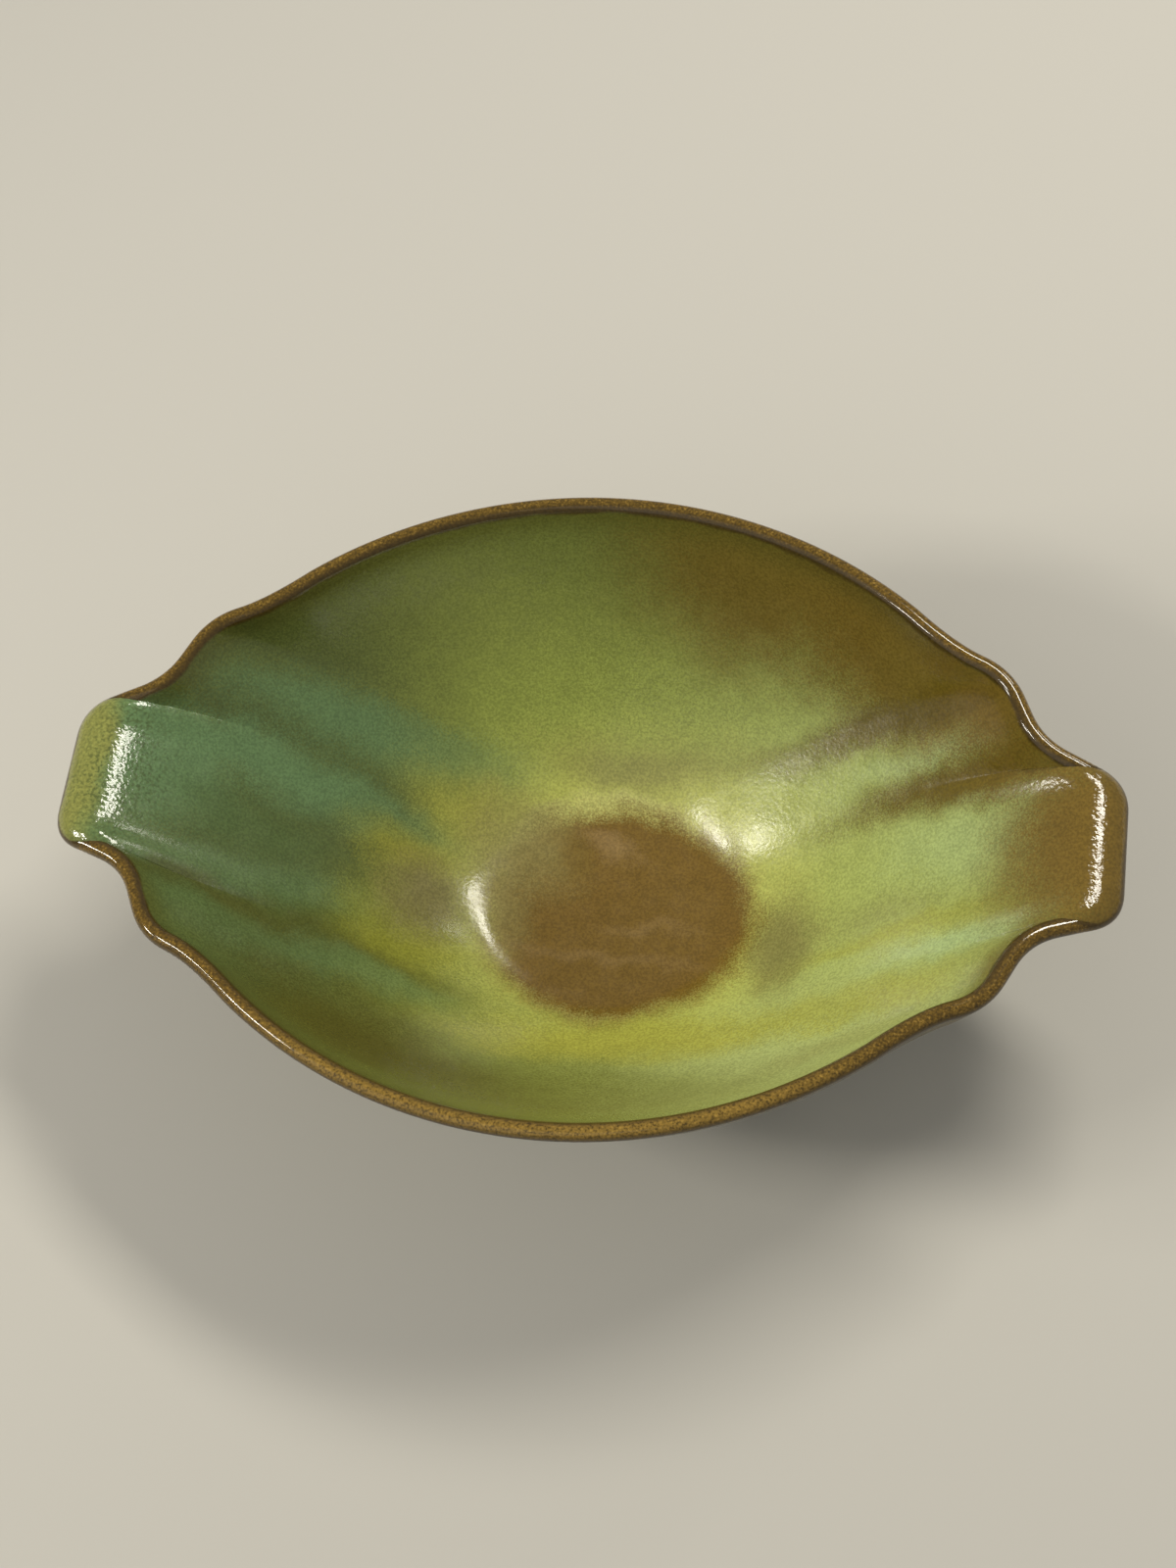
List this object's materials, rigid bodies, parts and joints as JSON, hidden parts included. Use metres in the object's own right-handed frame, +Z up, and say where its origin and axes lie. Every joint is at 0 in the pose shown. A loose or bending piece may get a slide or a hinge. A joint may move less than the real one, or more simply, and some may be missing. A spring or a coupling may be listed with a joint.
{
  "type": "serving dish",
  "caption": "Deep oval serving dish of glazed pottery with stepped, fluted ends that form handles with turned-over lips, a flat oval well and a foot ring.",
  "frame": {"origin": "on the table under the middle of the dish, in the plane that the foot ring stands on", "axes": "+X along the length from handle to handle, +Y across the dish, +Z up out of the bowl"},
  "size_m": [0.312, 0.2038, 0.0899],
  "materials": {
    "fired_clay": "bare fired brown clay, matt",
    "green_brown_glaze": "satin green glaze that turns brown on rims and ridges, teal in grooves and olive round the well",
    "underside_glaze": "satin grey-green glaze"
  },
  "bodies": {
    "root": {"clay_body": "fired_clay", "glaze_coat": "green_brown_glaze", "underside_glaze": "underside_glaze"}
  },
  "joints": []
}
